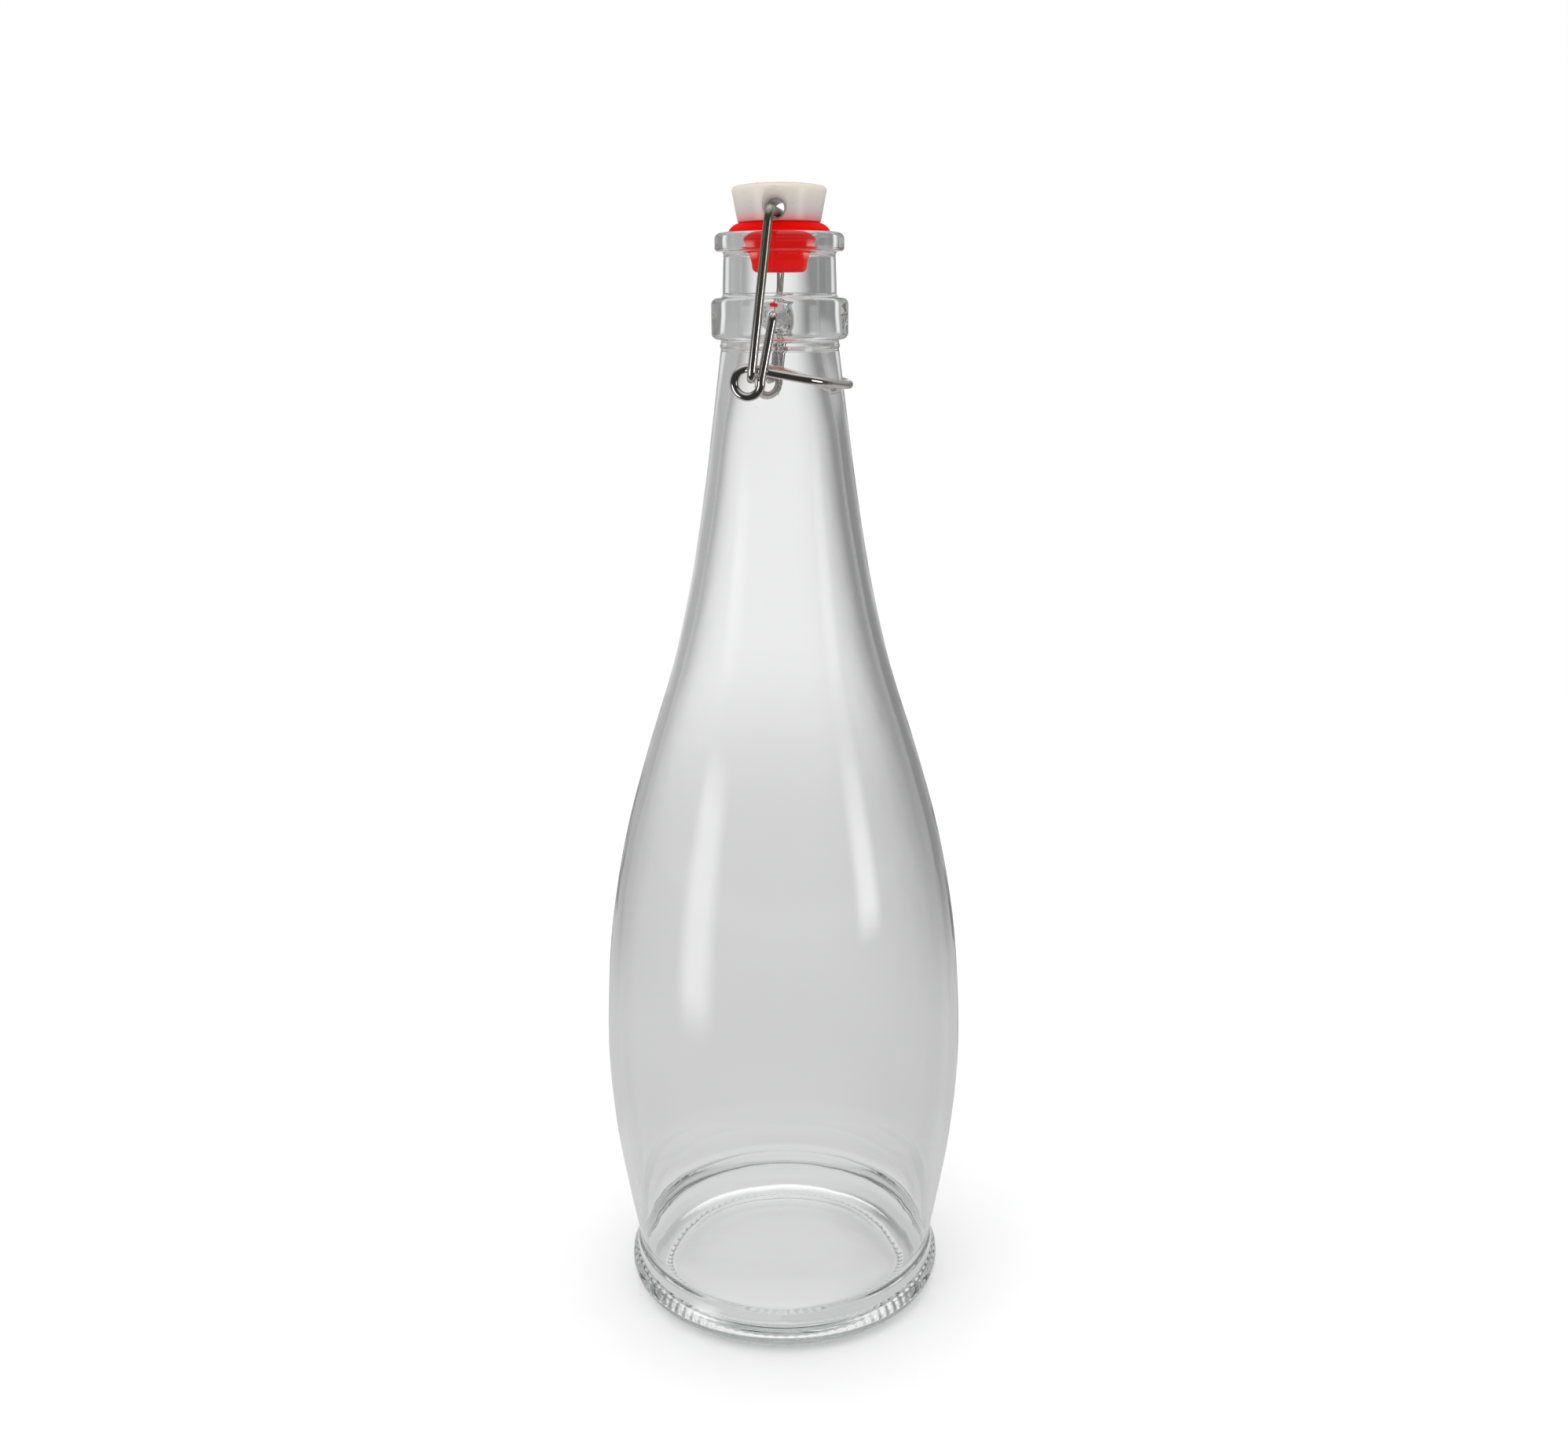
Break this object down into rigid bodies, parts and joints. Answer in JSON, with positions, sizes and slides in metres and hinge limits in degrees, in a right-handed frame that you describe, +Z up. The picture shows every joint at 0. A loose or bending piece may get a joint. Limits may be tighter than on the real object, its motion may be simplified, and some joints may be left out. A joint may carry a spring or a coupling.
{
  "type": "swing-top bottle",
  "caption": "Clear glass swing-top bottle with a bulbous belly, moulded stopper head, rubber seal and a two-wire over-centre closure.",
  "frame": {"origin": "centre of the base, on the surface that the bottle stands on", "axes": "+Z up along the bottle's axis; +X towards the closure's handle; the closure's side arms and pivots are on -Y and +Y"},
  "size_m": [0.0984, 0.0984, 0.3015],
  "materials": {
    "bottle_glass": "clear moulded glass, glossy, faint green tint in thick edges",
    "stopper_plastic": "white moulded plastic, soft gloss",
    "seal_rubber": "red silicone rubber, satin",
    "lever_nickel": "bright nickel-plated steel wire",
    "bail_nickel": "bright nickel-plated steel wire, lightly drawn along its length"
  },
  "bodies": {
    "bottle": {"bottle": "bottle_glass"},
    "lever": {"lever_wire": "lever_nickel"},
    "bail": {"bail_wire": "bail_nickel"},
    "stopper": {"stopper_head": "stopper_plastic", "seal": "seal_rubber"}
  },
  "joints": [
    {"name": "lever_pivot", "type": "hinge", "parent": "bottle", "child": "lever", "pos_m": [0, 0, 0.27], "axis": [0, -1, 0], "range_deg": [0, 86]},
    {"name": "bail_pivot", "type": "hinge", "parent": "lever", "child": "bail", "pos_m": [-0.0053, 0, 0.2548], "axis": [0, -1, 0], "range_deg": [-56, 0]},
    {"name": "stopper_pivot", "type": "hinge", "parent": "bail", "child": "stopper", "pos_m": [0, 0, 0.2944], "axis": [0, -1, 0], "range_deg": [-32, 0]}
  ],
  "couplings": [
    {"joint": "bail_pivot", "follows": "lever_pivot", "ratio": -0.64},
    {"joint": "stopper_pivot", "follows": "lever_pivot", "ratio": -0.36}
  ]
}
